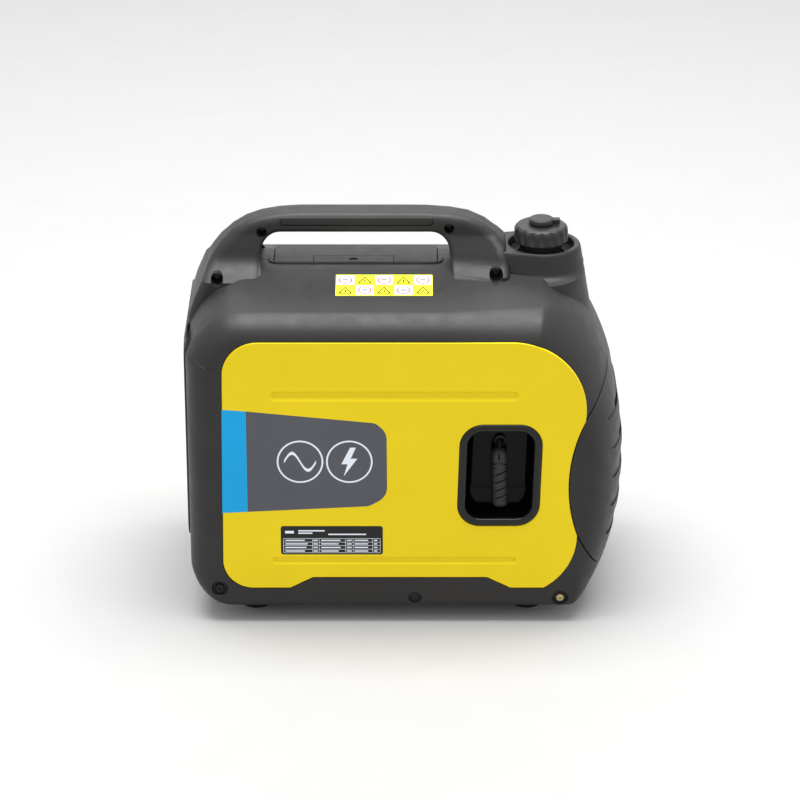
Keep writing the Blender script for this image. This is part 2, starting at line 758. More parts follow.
def starter_grip():
    low, high = CORD_X - GRIP_WIDE / 2, CORD_X + GRIP_WIDE / 2
    bm = prism(grip_outline(), low, high, "X")
    round_rim(round_rim(bm, "X", low, 0.004, 2), "X", high, 0.004, 2)
    made = piece("starter_grip", bm, "charcoal_plastic", (CORD_X, GRIP_FRONT + GRIP_DEEP, CORD_KNOT_Z))
    hole = rod((CORD_X, 0, CORD_KNOT_Z), (0, 1, 0), CORD_RADIUS + RUN_GAP, GRIP_FRONT + 0.009, 0, 12)
    cut(made, hole)


def starter_cord():
    """The short length of cord between the guide and the grip; the rest is wound on the reel."""
    knots = [
        (CORD_X, RECOIL_FRONT - 0.0058, CORD_Z), (CORD_X, RECOIL_FRONT - 0.0075, CORD_Z - 0.0015),
        (CORD_X, GRIP_FRONT + GRIP_DEEP + 0.002, CORD_KNOT_Z + 0.0005),
        (CORD_X, GRIP_FRONT + 0.010, CORD_KNOT_Z),
    ]
    tube("starter_cord", smooth_route(knots, 4), CORD_RADIUS, "nylon_cord")


def recoil_housing():
    """The dish over the reel, with its axle pin, three legs to the engine and the cord's arm."""
    rim, wall = RECOIL_RADIUS, 0.003
    centre = (CRANK_X, 0, CRANK_Z)
    profile = [
        (0, RECOIL_FRONT), (rim - 0.008, RECOIL_FRONT), (rim, RECOIL_FRONT + 0.008), (rim, RECOIL_BACK),
        (rim - wall, RECOIL_BACK), (rim - wall, RECOIL_FRONT + 0.009),
        (rim - 0.010, RECOIL_FRONT + wall), (AXLE_RADIUS, RECOIL_FRONT + wall),
        (AXLE_RADIUS, REEL_Y[1] + 0.002), (0, REEL_Y[1] + 0.002),
    ]
    made = piece("recoil_housing", turned(profile, centre, (0, 1, 0), 20), "charcoal_plastic")
    arm_low = (CRANK_X + 0.045, RECOIL_FRONT + 0.0005, CORD_Z - 0.010)
    arm_high = (CORD_X + 0.010, RECOIL_FRONT + 0.022, CORD_Z + 0.010)
    unite(made, block(arm_low, arm_high))
    channel = block(
        (CRANK_X, RECOIL_FRONT + wall, CORD_Z - 0.004), (CORD_X + 0.005, RECOIL_FRONT + 0.019, CORD_Z + 0.004)
    )
    eye = rod((CORD_X, 0, CORD_Z), (0, 1, 0), CORD_RADIUS + RUN_GAP, -0.12, RECOIL_FRONT + 0.006, 12)
    ends = (RECOIL_FRONT - 0.0055, RECOIL_FRONT + 0.002)
    collar = rod((CORD_X, 0, CORD_Z), (0, 1, 0), GUIDE_RADIUS, *ends, 20)
    unite(made, collar)
    cut(made, channel, eye)
    for angle in LEG_ANGLES:
        x, z = leg_spot(angle)
        unite(made, rod((x, 0, z), (0, 1, 0), LEG_RADIUS, RECOIL_BACK - 0.010, CASE_Y[0] - TOUCH_GAP, 10))


def leg_spot(angle):
    reach = RECOIL_RADIUS + 0.001
    return CRANK_X + reach * math.cos(math.radians(angle)), CRANK_Z + reach * math.sin(math.radians(angle))


def recoil_reel():
    """The cord's reel, which turns on the housing's pin; its rim carries the wound cord."""
    low, high = REEL_Y
    core = CORD_Z - CRANK_Z
    bore = AXLE_RADIUS + RUN_GAP
    profile = [
        (bore, low), (REEL_FLANGE, low), (REEL_FLANGE, low + 0.003), (core, low + 0.004),
        (core, high - 0.004), (REEL_FLANGE, high - 0.003), (REEL_FLANGE, high), (bore, high), (bore, low),
    ]
    centre = (CRANK_X, 0, CRANK_Z)
    made = piece("recoil_reel", turned(profile, centre, (0, 1, 0), 20), "charcoal_plastic", centre)
    for index in range(3):
        angle = math.radians(30 + 120 * index)
        spot = (CRANK_X + 0.024 * math.cos(angle), 0, CRANK_Z + 0.024 * math.sin(angle))
        cut(made, rod(spot, (0, 1, 0), 0.006, low - 0.01, high + 0.01, 10))


def flywheel_rotor():
    """The magnet rotor with its cooling fan: a cup that opens towards the engine."""
    low, high = ROTOR_Y
    centre = (CRANK_X, 0, CRANK_Z)
    bore = SHAFT_RADIUS + TOUCH_GAP
    cup = ROTOR_RADIUS - 0.010
    profile = [
        (bore, low + 0.006), (ROTOR_RADIUS - 0.004, low + 0.006),
        (ROTOR_RADIUS, low + 0.010), (ROTOR_RADIUS, high),
        (cup, high), (cup, low + 0.012), (SHAFT_RADIUS + 0.006, low + 0.012),
        (SHAFT_RADIUS + 0.006, high - 0.012), (bore, high - 0.012), (bore, low + 0.006),
    ]
    made = piece("flywheel_rotor", turned(profile, centre, (0, 1, 0), 20), "cast_aluminium", centre)
    for index in range(9):
        vane = block((0.024, low, -0.0012), (ROTOR_RADIUS - 0.005, low + 0.008, 0.0012))
        turn = Matrix.Translation(centre) @ Matrix.Rotation(math.radians(40 * index), 4, "Y")
        vane.transform(turn)
        unite(made, vane)


def crankshaft():
    low, high = ROTOR_Y[0] + 0.001, CASE_Y[1] - 0.012
    web = (0.014, 0.030)
    profile = [
        (0, low), (SHAFT_RADIUS, low), (SHAFT_RADIUS, web[0]), (CRANK_WEB, web[0]),
        (CRANK_WEB, web[1]), (SHAFT_RADIUS, web[1]), (SHAFT_RADIUS, high), (0, high),
    ]
    centre = (CRANK_X, 0, CRANK_Z)
    piece("crankshaft", turned(profile, centre, (0, 1, 0), 16), "steel", centre)


def stator():
    """The wound stator, bolted to the engine's face inside the rotor's cup."""
    outer = ROTOR_RADIUS - 0.010 - 0.0012
    centre = (CRANK_X, 0, CRANK_Z)
    low, high = ROTOR_Y[0] + 0.016, CASE_Y[0] - TOUCH_GAP
    bm = ring(centre, (0, 1, 0), SHAFT_RADIUS + 0.008, outer - 0.014, low, high, 20)
    made = piece("stator", bm, "copper")
    for index in range(12):
        pole = block((outer - 0.018, low + 0.002, -0.006), (outer, high - 0.012, 0.006))
        turn = Matrix.Translation(centre) @ Matrix.Rotation(math.radians(30 * index), 4, "Y")
        pole.transform(turn)
        unite(made, pole)


def crankcase():
    """The engine block round the crankshaft, open to the cylinder, with its foot and legs' pads."""
    low, high = CASE_Y
    centre = (CRANK_X, 0, CRANK_Z)
    outline = slab_outline((CRANK_X, CRANK_Z), (0.108, 0.108), 0.022)
    made = piece("crankcase", prism(outline, low, high), "cast_aluminium")
    foot = block((MOUNT_X[0] - 0.02, low + 0.01, MOUNT_TOP), (MOUNT_X[1] + 0.02, high, MOUNT_TOP + 0.030))
    unite(made, foot)
    for angle in (*LEG_ANGLES, COIL_ANGLE):
        x, z = leg_spot(angle)
        pad = block((-0.035, low, -0.009), (0.008, low + 0.012, 0.009))
        pad.transform(Matrix.Translation((x, 0, z)) @ Matrix.Rotation(math.radians(-angle), 4, "Y"))
        unite(made, pad)
    room = rod(centre, (0, 1, 0), CRANK_WEB + 0.006, 0.006, high - 0.006, 24)
    bore = rod(centre, (0, 1, 0), SHAFT_RADIUS + TOUCH_GAP, low - 0.01, high - 0.010, 20)
    spigot = rod(centre, cylinder_axis(), 0.026, 0.0, 0.1, 20)
    spigot.transform(Matrix.Translation((0, CYLINDER_Y, 0)))
    trim = block((-0.06, -0.2, 0.0), (0.06, 0.2, 0.06))
    trim.transform(cylinder_place(CYLINDER_REACH[0] - TOUCH_GAP))
    cut(made, room, bore, spigot, trim)
    boss = rod(OIL_FILLER, OIL_WAY, 0.015, -0.020, -TOUCH_GAP, 16)
    unite(made, boss)
    cut(made, rod(OIL_FILLER, OIL_WAY, 0.0095, -0.016, 0.01, 16))


def cylinder_axis():
    return Vector((math.sin(CYLINDER_LEAN), 0, math.cos(CYLINDER_LEAN)))


def cylinder_place(along=0.0):
    """The frame of the leaning cylinder: its origin this far along its axis from the crankshaft."""
    start = Vector((CRANK_X, CYLINDER_Y, CRANK_Z)) + cylinder_axis() * along
    return Matrix.Translation(start) @ Matrix.Rotation(CYLINDER_LEAN, 4, "Y")


def cylinder():
    low, high = CYLINDER_REACH
    bm = rod((0, 0, 0), (0, 0, 1), 0.031, low, high, 16)
    bm.transform(cylinder_place())
    made = piece("cylinder", bm, "cast_aluminium")
    for index in range(FIN_COUNT):
        at = low + (high - low - FIN_THICK) * index / (FIN_COUNT - 1)
        fin = block((-CYLINDER_HALF, -CYLINDER_HALF, at), (CYLINDER_HALF, CYLINDER_HALF, at + FIN_THICK))
        fin.transform(cylinder_place())
        unite(made, fin)
    bore = rod((0, 0, 0), (0, 0, 1), 0.0265, low - 0.01, high + 0.01, 16)
    bore.transform(cylinder_place())
    cut(made, bore)


def cylinder_head():
    low = CYLINDER_REACH[1] + TOUCH_GAP
    head = CYLINDER_HALF - 0.002
    bm = block((-head, -head, low), (head, head, low + HEAD_LONG - 0.010))
    bm.transform(cylinder_place())
    made = piece("cylinder_head", bm, "cast_aluminium")
    cover = block((-head + 0.006, -head + 0.006, low + 0.02), (0.012, head - 0.006, low + HEAD_LONG))
    cover.transform(cylinder_place())
    unite(made, cover)
    plug = rod((PLUG_ACROSS, 0, 0), (0, 0, 1), PLUG_RADIUS + TOUCH_GAP, low + 0.012, low + 0.06, 16)
    plug.transform(cylinder_place())
    cut(made, plug)


def plug_frame():
    return cylinder_place(CYLINDER_REACH[1] + TOUCH_GAP) @ Matrix.Translation((PLUG_ACROSS, 0, 0))


def spark_plug():
    profile = [
        (0, 0.0125), (PLUG_RADIUS, 0.0125), (PLUG_RADIUS, 0.030), (0.0085, 0.030), (0.0085, 0.037),
        (0.0045, 0.040), (0.0040, 0.054), (0, 0.054),
    ]
    bm = turned(profile, (0, 0, 0), (0, 0, 1), 16)
    bm.transform(plug_frame())
    piece("spark_plug", bm, "ceramic")


def plug_cap():
    """The rubber boot and lead stub that push onto the spark plug."""
    inner, outer = 0.0045 + TOUCH_GAP, 0.0095
    profile = [
        (inner, 0.0415), (outer, 0.0415), (outer, 0.052), (0.007, 0.058),
        (0, 0.058), (0, 0.0545), (inner, 0.0545), (inner, 0.0415),
    ]
    bm = turned(profile, (0, 0, 0), (0, 0, 1), 16)
    bm.transform(plug_frame())
    piece("plug_cap", bm, "black_rubber")


def carburettor():
    """The carburettor on its inlet pipe, between the head and the air cleaner."""
    head = CYLINDER_HALF - 0.002
    middle = CYLINDER_REACH[1] + 0.014
    start = cylinder_place() @ Vector((-head - TOUCH_GAP, 0, middle))
    bm = rod((0, 0, 0), (-1, 0, 0), 0.012, 0, 0.022, 16)
    turn = Matrix.Translation(start) @ Matrix.Rotation(CYLINDER_LEAN, 4, "Y")
    bm.transform(turn)
    made = piece("carburettor", bm, "cast_aluminium")
    body = block((-0.050, -0.017, -0.018), (-0.018, 0.017, 0.016))
    body.transform(turn)
    bowl = rod((-0.034, 0, 0), (0, 0, -1), 0.013, 0.010, 0.034, 14)
    bowl.transform(turn)
    horn = rod((0, 0, 0), (-1, 0, 0), 0.014, 0.045, CARB_REACH - TOUCH_GAP, 16)
    horn.transform(turn)
    unite(made, body, bowl, horn)


def air_cleaner():
    head = CYLINDER_HALF - 0.002
    middle = CYLINDER_REACH[1] + 0.014
    start = cylinder_place() @ Vector((-head - TOUCH_GAP, 0, middle))
    turn = Matrix.Translation(start) @ Matrix.Rotation(CYLINDER_LEAN, 4, "Y")
    bm = block((-CARB_REACH - 0.040, -0.045, -0.028), (-CARB_REACH, 0.050, 0.030))
    bmesh.ops.bevel(bm, geom=bm.edges[:], offset=0.006, segments=2, profile=0.5, affect="EDGES", material=-1)
    bm.transform(turn)
    made = piece("air_cleaner", bm, "charcoal_plastic")
    snorkel = block((-CARB_REACH - 0.026, -0.040, 0.024), (-CARB_REACH - 0.014, -0.010, 0.036))
    snorkel.transform(turn)
    unite(made, snorkel)


def muffler():
    """The silencer's hollow shell with its tail outlet and the bracket that stands it on the tray."""
    low, high = MUFFLER_Z
    middle = sum(MUFFLER_X) / 2
    size = (MUFFLER_X[1] - MUFFLER_X[0], high - low)
    made = piece("muffler", muffler_form(middle, size, 0), "steel")
    unite(made, rod((0, TAIL_Y, TAIL_Z), (1, 0, 0), TAIL_RADIUS, MUFFLER_X[1] - 0.01, TAIL_END, 20))
    floor = CASE_BOTTOM + WALL + TOUCH_GAP + TRAY_THICK + TOUCH_GAP
    for y in (-0.035, 0.035):
        unite(made, block((middle - 0.020, y - 0.012, floor), (middle + 0.012, y + 0.012, low + 0.008)))
    cut(made, muffler_form(middle, size, MUFFLER_WALL))
    bore_start = MUFFLER_X[1] - 2 * MUFFLER_WALL
    cut(made, rod((0, TAIL_Y, TAIL_Z), (1, 0, 0), TAIL_RADIUS - 0.002, bore_start, 0.3, 20))


def muffler_form(middle, size, wall):
    """The silencer's rounded box, inside its walls where a wall is given."""
    inside = (size[0] - 2 * wall, size[1] - 2 * wall)
    outline = slab_outline((middle, sum(MUFFLER_Z) / 2), inside, 0.022 - wall)
    half = MUFFLER_HALF - wall
    bm = prism(outline, -half, half)
    return round_rim(round_rim(bm, "Y", -half, 0.006, 1), "Y", half, 0.006, 1)


def exhaust_pipe():
    head = CYLINDER_HALF - 0.002
    port = cylinder_place() @ Vector((0, head + TOUCH_GAP, CYLINDER_REACH[1] + 0.015))
    end = Vector((MUFFLER_X[0] + 0.028, 0.035, MUFFLER_Z[1] + TOUCH_GAP))
    knots = [
        port, port + Vector((0, 0.014, 0)), port + Vector((0.030, 0.032, -0.008)),
        Vector((0.055, 0.088, 0.262)), end + Vector((-0.012, 0.022, 0.036)),
        end + Vector((0, 0, 0.016)), end,
    ]
    tube("exhaust_pipe", smooth_route(knots, 3), 0.009, "steel", 1)


def base_tray():
    """The pan that the engine, muffler and inverter stand on."""
    low = CASE_BOTTOM + WALL + TOUCH_GAP
    bm = block((TRAY_X[0], -TRAY_HALF, low), (TRAY_X[1], TRAY_HALF, low + TRAY_THICK))
    made = piece("base_tray", bm, "charcoal_plastic")
    inner = block(
        (TRAY_X[0] + WALL, -TRAY_HALF + WALL, low + TRAY_THICK), (TRAY_X[1] - WALL, TRAY_HALF - WALL, 0.1)
    )
    rim = block((TRAY_X[0], -TRAY_HALF, low + 0.001), (TRAY_X[1], TRAY_HALF, low + TRAY_RIM))
    unite(made, rim)
    cut(made, inner)
    for x in MOUNT_X:
        ends = (low + 0.001, MOUNT_LOW - TOUCH_GAP)
        unite(made, rod((x, MOUNT_Y, 0), (0, 0, 1), MOUNT_RADIUS + 0.003, *ends, 16))
    for x in FOOT_X:
        for y in (-FOOT_Y, FOOT_Y):
            cut(made, rod((x, y, 0), (0, 0, 1), PEG_RADIUS + RUN_GAP, 0.01, 0.05, 12))


def engine_mounts():
    for name, x in zip(("engine_mount_left", "engine_mount_right"), MOUNT_X):
        waist = MOUNT_RADIUS - 0.003
        middle = (MOUNT_LOW + MOUNT_TOP) / 2
        profile = [
            (0, MOUNT_LOW), (MOUNT_RADIUS, MOUNT_LOW), (waist, middle),
            (MOUNT_RADIUS, MOUNT_TOP - TOUCH_GAP), (0, MOUNT_TOP - TOUCH_GAP),
        ]
        piece(name, turned(profile, (x, MOUNT_Y, 0), (0, 0, 1), 18), "black_rubber")


def feet():
    top = CASE_BOTTOM - TOUCH_GAP
    peg_top = CASE_BOTTOM + WALL + TRAY_THICK
    profile = [
        (0, 0), (FOOT_RADIUS - 0.004, 0), (FOOT_RADIUS - 0.0015, 0.002),
        (FOOT_RADIUS, top - 0.006), (FOOT_RADIUS, top),
        (PEG_RADIUS, top), (PEG_RADIUS, peg_top), (0, peg_top),
    ]
    for side, y in (("front", -FOOT_Y), ("rear", FOOT_Y)):
        for end, x in zip(("left", "right"), FOOT_X):
            piece(f"foot_{side}_{end}", turned(profile, (x, y, 0), (0, 0, 1), 16), "black_rubber")


def fuel_tank():
    low, high = TANK_Z
    outline = slab_outline((sum(TANK_X) / 2, (low + high) / 2), (TANK_X[1] - TANK_X[0], high - low), 0.014)
    bm = prism(outline, -TANK_HALF, TANK_HALF)
    round_rim(round_rim(bm, "Y", -TANK_HALF, 0.010, 2), "Y", TANK_HALF, 0.010, 2)
    made = piece("fuel_tank", bm, "charcoal_plastic")
    unite(made, rod((FILLER_X, 0, 0), (0, 0, 1), NECK_RADIUS, high - 0.012, NECK_TOP, 20))
    cut(made, rod((FILLER_X, 0, 0), (0, 0, 1), NECK_RADIUS - 0.003, low + 0.004, NECK_TOP + 0.01, 20))
    for x in (TANK_X[0] + 0.020, TANK_X[1] - 0.030):
        for y in (-TANK_HALF - 0.004, TANK_HALF - 0.010):
            unite(made, block((x, y, low + 0.012), (x + 0.016, y + 0.014, low + 0.018)))


def fuel_hose():
    """The hose from the tank's outlet to the carburettor's bowl."""
    head = CYLINDER_HALF - 0.002
    start = Vector((TANK_X[0] + 0.012, -0.060, TANK_Z[0] - TOUCH_GAP))
    turn = cylinder_place() @ Matrix.Translation((-head, 0, CYLINDER_REACH[1] + 0.014))
    end = turn @ Vector((-0.034, -0.017 - 2 * TOUCH_GAP, 0))
    knots = [
        start, start + Vector((-0.002, 0, -0.016)), start + Vector((-0.030, 0.004, -0.040)),
        end + Vector((0.030, -0.040, -0.012)), end + Vector((0, -0.018, 0)), end,
    ]
    tube("fuel_hose", smooth_route(knots, 4), 0.0035, "black_rubber", 1)


def filler_surround():
    """The raised surround of the fuel filler, with the round pocket that the cap stands in."""
    low, high = SURROUND_Z
    foot, rim = SURROUND_RADIUS
    profile = [(0, low), (foot, low), (rim, high), (0, high)]
    bm = turned(profile, (FILLER_X, 0, 0), (0, 0, 1), 28)
    made = piece("filler_surround", bm, "charcoal_plastic")
    flat, crown = foot - 0.0006, rim - 0.0006
    outline = [(-flat, low), (flat, low), (crown, high), (-crown, high)]
    tail = prism(outline, SURROUND_LEFT, FILLER_X - 0.002, "X")
    unite(made, tail)
    centre = (FILLER_X, 0, 0)
    hollow = [
        (0, SURROUND_FLOOR), (SURROUND_POCKET - 0.003, SURROUND_FLOOR),
        (SURROUND_POCKET, SURROUND_FLOOR + 0.003), (SURROUND_POCKET + 0.0015, high + 0.01), (0, high + 0.01),
    ]
    pocket = turned(hollow, centre, (0, 0, 1), 24)
    foot_half = HANDLE_HALF + HANDLE_LEAN * (HEIGHT - GRIP_TALL - low)
    handle_end = block(
        (0, -foot_half - SEAM_GAP, 0.3), (SURROUND_LEFT - SEAM_GAP, foot_half + SEAM_GAP, 0.5)
    )
    cut(made, pocket, handle_end, rod(centre, (0, 0, 1), NECK_RADIUS + TOUCH_GAP, 0.3, 0.5, 24))


def cap_gasket():
    """The cap's sealing insert, which rises with the cap but doesn't turn."""
    seat = NECK_TOP + TOUCH_GAP
    outer = CAP_RADIUS - CAP_WALL - RUN_GAP
    bm = ring((FILLER_X, 0, 0), (0, 0, 1), 0.012, outer, seat, seat + 0.0025, 20)
    piece("cap_gasket", bm, "black_rubber", (FILLER_X, 0, seat))


def fuel_cap():
    low, high = CAP_Z
    centre = (FILLER_X, 0, 0)
    roof = NECK_TOP + TOUCH_GAP + 0.0025 + TOUCH_GAP
    inner = CAP_RADIUS - CAP_WALL
    profile = [
        (inner, low), (CAP_RADIUS - 0.0012, low), (CAP_RADIUS, low + 0.0012), (CAP_RADIUS, high - 0.005),
        (CAP_RADIUS - 0.006, high), (0, high), (0, roof), (inner, roof), (inner, low),
    ]
    made = piece("fuel_cap", turned(profile, centre, (0, 0, 1), 24), "charcoal_plastic", (FILLER_X, 0, high))
    reach = CAP_RADIUS + 0.0022
    for index in range(10):
        angle = math.radians(36 * index)
        spot = (FILLER_X + reach * math.cos(angle), reach * math.sin(angle), 0)
        cut(made, rod(spot, (0, 0, 1), 0.0034, low - 0.01, high - 0.006, 6))


def vent_knob():
    """The vent lever on the cap, off at rest, turned a quarter for running."""
    low = CAP_Z[1] + TOUCH_GAP
    high = low + KNOB_TALL
    profile = [
        (0, low), (KNOB_RADIUS, low), (KNOB_RADIUS, high - 0.002), (KNOB_RADIUS - 0.002, high), (0, high),
    ]
    bm = turned(profile, (FILLER_X, 0, 0), (0, 0, 1), 20)
    made = piece("vent_knob", bm, "charcoal_plastic", (FILLER_X, 0, low))
    unite(made, block((FILLER_X + 0.010, 0.0035, low + 0.0005), (FILLER_X + 0.0215, 0.0085, high - 0.0005)))


def top_lid():
    """The spark plug lid between the handle's feet, hinged along its far edge."""
    (left, right), (near, far), (low, high) = LID_X, LID_Y, LID_Z
    bm = block((left, near, low), (right, far, high))
    made = piece("top_lid", bm, "charcoal_plastic", (0, far, high))
    notch_low = (LATCH_X[0] - RUN_GAP, near - 0.01, low - 0.01)
    notch = block(notch_low, (LATCH_X[1] + RUN_GAP, near + 0.020, high + 0.01))
    cut(made, notch)


def lid_latch():
    """The lid's press latch, which tips down at its free edge."""
    near, high = LID_Y[0], LID_Z[1]
    back = near + 0.020 - RUN_GAP
    outline = [(near, high - 0.003), (near + 0.003, high - 0.003), (near + 0.003, high - 0.008),
               (near + 0.005, high - 0.008), (near + 0.005, high - 0.003), (back, high - 0.003),
               (back, high), (near, high)]
    bm = prism(outline, LATCH_X[0], LATCH_X[1], "X")
    made = piece("lid_latch", bm, "charcoal_plastic", (0, back, high - 0.0015))
    middle = sum(LATCH_X) / 2
    cut(made, rod((middle, near + 0.008, 0), (0, 0, 1), 0.005, high - 0.0012, high + 0.01, 14))


def control_frame():
    """The rimmed frame of the control end, with the air inlet's bars above the panel."""
    low, high = CONTROL_Z
    middle = (0, (low + high) / 2)
    rim = (2 * (CONTROL_HALF + CONTROL_FLANGE), high - low + 2 * CONTROL_FLANGE)
    bm = prism(slab_outline(middle, rim, 0.024, 5), -HALF.x, CASE_LEFT - TOUCH_GAP, "X")
    made = piece("control_frame", round_rim(bm, "X", -HALF.x, 0.0009, 1), "charcoal_plastic")
    unite(made, prism(control_outline(), CASE_LEFT - 0.001, -HALF.x + CONTROL_DEEP, "X"))
    half = CONTROL_HALF - CONTROL_WALL
    bay_middle = (0, (low + CONTROL_WALL + CONTROL_BAR_Z) / 2)
    bay = slab_outline(bay_middle, (2 * half, CONTROL_BAR_Z - low - CONTROL_WALL), 0.014)
    ledge_middle = (0, bay_middle[1])
    ledge = slab_outline(ledge_middle, (2 * half - 0.008, CONTROL_BAR_Z - low - CONTROL_WALL - 0.008), 0.010)
    back = -HALF.x + CONTROL_DEEP - 0.002
    cut(made, prism(bay, -0.3, back, "X"), prism(ledge, -0.3, -0.2, "X"))
    slots = 5
    room = high - CONTROL_WALL - CONTROL_BAR_Z - CONTROL_WALL
    for index in range(slots):
        z = CONTROL_BAR_Z + CONTROL_WALL + room * (index + 0.5) / slots
        for y in (-half / 2, half / 2):
            slot = slab_outline((y, z), (half - 0.008, room / slots - 0.003), 0.002, 2)
            cut(made, prism(slot, -0.3, -0.2, "X"))


def plate_face():
    return -HALF.x + CONTROL_DEEP - 0.002 - TOUCH_GAP - PLATE_THICK


def control_panel():
    """The plate that carries the sockets and switches, seated on the frame's ledge."""
    low = CONTROL_Z[0] + CONTROL_WALL
    face = plate_face()
    middle = (0, (low + CONTROL_BAR_Z) / 2)
    size = (2 * (CONTROL_HALF - CONTROL_WALL - RUN_GAP), CONTROL_BAR_Z - low - 2 * RUN_GAP)
    bm = prism(slab_outline(middle, size, 0.0135), face, face + PLATE_THICK, "X")
    made = piece("control_panel", bm, "gloss_black")
    holes = [(y, SOCKET_Z, SOCKET_RADIUS - 0.002) for y in SOCKET_Y]
    holes += [(y, z, radius - 0.002) for y, z, radius in ROUND_FITTINGS.values()]
    holes.append((SWITCH[0], SWITCH[1], SWITCH_SHAFT + RUN_GAP))
    for y, z, radius in holes:
        cut(made, rod((0, y, z), (1, 0, 0), radius + TOUCH_GAP, -0.3, -0.2, 16))
    for y, z, wide, tall in SQUARE_FITTINGS.values():
        hole = slab_outline((y, z), (wide - 0.004 + 2 * TOUCH_GAP, tall - 0.004 + 2 * TOUCH_GAP), 0.001, 1)
        cut(made, prism(hole, -0.3, -0.2, "X"))


def flanged(name, y, z, radius, deep, finish, proud=0.0015):
    """A round fitting: a flange on the panel's face and a barrel through its hole."""
    face = plate_face() - TOUCH_GAP
    barrel = radius - 0.002
    profile = [
        (0, face - proud), (radius, face - proud), (radius, face), (barrel, face),
        (barrel, face + deep), (0, face + deep),
    ]
    return piece(name, turned(profile, (0, y, z), (1, 0, 0), 16), finish)


def ac_sockets():
    """Two mains outlets with round wells and three pin holes."""
    face = plate_face() - TOUCH_GAP
    for name, y in zip(("ac_socket_right", "ac_socket_left"), SOCKET_Y):
        made = flanged(name, y, SOCKET_Z, SOCKET_RADIUS, 0.026, "gloss_black", 0.0020)
        cut(made, rod((0, y, SOCKET_Z), (1, 0, 0), 0.0195, -0.3, face + 0.014, 24))
        for across_by, radius in ((-0.0095, 0.0024), (0.0095, 0.0024)):
            cut(made, rod((0, y + across_by, SOCKET_Z), (1, 0, 0), radius, -0.3, face + 0.024, 10))


def socket_covers():
    """The sprung lids of the mains outlets, which swing up on a pin across their top."""
    face = plate_face() - TOUCH_GAP - 0.0020 - TOUCH_GAP
    for name, y in zip(("socket_cover_right", "socket_cover_left"), SOCKET_Y):
        pivot = (face - COVER_THICK / 2, y, cover_hinge_z())
        bm = rod((0, y, SOCKET_Z), (1, 0, 0), COVER_RADIUS, face - COVER_THICK, face, 20)
        round_rim(bm, "X", face - COVER_THICK, 0.001, 1)
        made = piece(name, bm, "charcoal_plastic", pivot)
        strap = (face - COVER_THICK, y - 0.012, SOCKET_Z + 0.015)
        unite(made, block(strap, (face, y + 0.012, cover_hinge_z() + 0.002)))
        tab = (face - COVER_THICK + 0.0005, y - 0.005, SOCKET_Z - COVER_RADIUS - 0.004)
        unite(made, block(tab, (face, y + 0.005, SOCKET_Z)))


def cover_hinge_z():
    return SOCKET_Z + COVER_RADIUS + 0.002


def dc_socket():
    y, z, radius = ROUND_FITTINGS["dc_socket"]
    made = flanged("dc_socket", y, z, radius, 0.022, "gloss_black")
    cut(made, rod((0, y, z), (1, 0, 0), radius - 0.005, -0.3, plate_face() + 0.016, 20))


def usb_socket():
    y, z, wide, tall = SQUARE_FITTINGS["usb_socket"]
    made = square_fitting("usb_socket", "gloss_black", 0.015)
    face = plate_face()
    for shift in (-0.0065, 0.0065):
        slot_low = (-0.3, y - 0.0065, z + shift - 0.0025)
        cut(made, block(slot_low, (face + 0.012, y + 0.0065, z + shift + 0.0025)))


def square_fitting(name, finish, deep=0.012, proud=0.0015):
    y, z, wide, tall = SQUARE_FITTINGS[name]
    face = plate_face() - TOUCH_GAP
    made = piece(name, prism(slab_outline((y, z), (wide, tall), 0.002, 2), face - proud, face, "X"), finish)
    neck = slab_outline((y, z), (wide - 0.004, tall - 0.004), 0.001, 1)
    unite(made, prism(neck, face - 0.0005, face + deep, "X"))
    return made


def eco_switch():
    """The rocker, which tips about a pin across its middle, in its own frame."""
    y, z, wide, tall = SQUARE_FITTINGS["eco_frame"]
    face = plate_face() - TOUCH_GAP
    frame = square_fitting("eco_frame", "gloss_black", 0.014)
    hole = slab_outline((y, z), (wide - 0.008, tall - 0.008), 0.0005, 1)
    cut(frame, prism(hole, -0.3, face + 0.0125, "X"))
    half = tall / 2 - 0.004 - 2 * RUN_GAP
    side = wide / 2 - 0.004 - RUN_GAP
    outline = rounded(
        [(face - 0.0030, -half, 0.0006), (face + 0.0055, -half * 0.75, 0), (face + 0.0055, half * 0.75, 0),
         (face - 0.0030, half, 0.0006), (face - 0.0010, 0, 0.004)], 2,
    )
    bm = prism(outline, y - side, y + side)
    bm.transform(Matrix.Translation((0, 0, z)))
    piece("eco_rocker", bm, "gloss_black", (face + 0.0030, y, z))


def breakers():
    """The circuit breaker block, with two collars through the panel and a button in each."""
    face = plate_face()
    spots = [(name, *ROUND_FITTINGS[name]) for name in ("ac_breaker", "dc_breaker")]
    middle = (sum(spot[1] for spot in spots) / 2, spots[0][2])
    back = face + PLATE_THICK + TOUCH_GAP
    bm = prism(slab_outline(middle, (0.056, 0.024), 0.002), back, back + 0.016, "X")
    made = piece("breaker_block", bm, "gloss_black")
    for name, y, z, radius in spots:
        unite(made, rod((0, y, z), (1, 0, 0), radius - 0.002, face - 0.0020, back + 0.001, 20))
    for name, y, z, radius in spots:
        button = radius - 0.0045
        cut(made, rod((0, y, z), (1, 0, 0), button + RUN_GAP, -0.3, face + 0.012, 16))
        bm = rod((0, y, z), (1, 0, 0), button, face - 0.0060, face + 0.0075, 16)
        round_rim(bm, "X", face - 0.0060, 0.0008, 1)
        piece(name, bm, "red_plastic", (face, y, z))


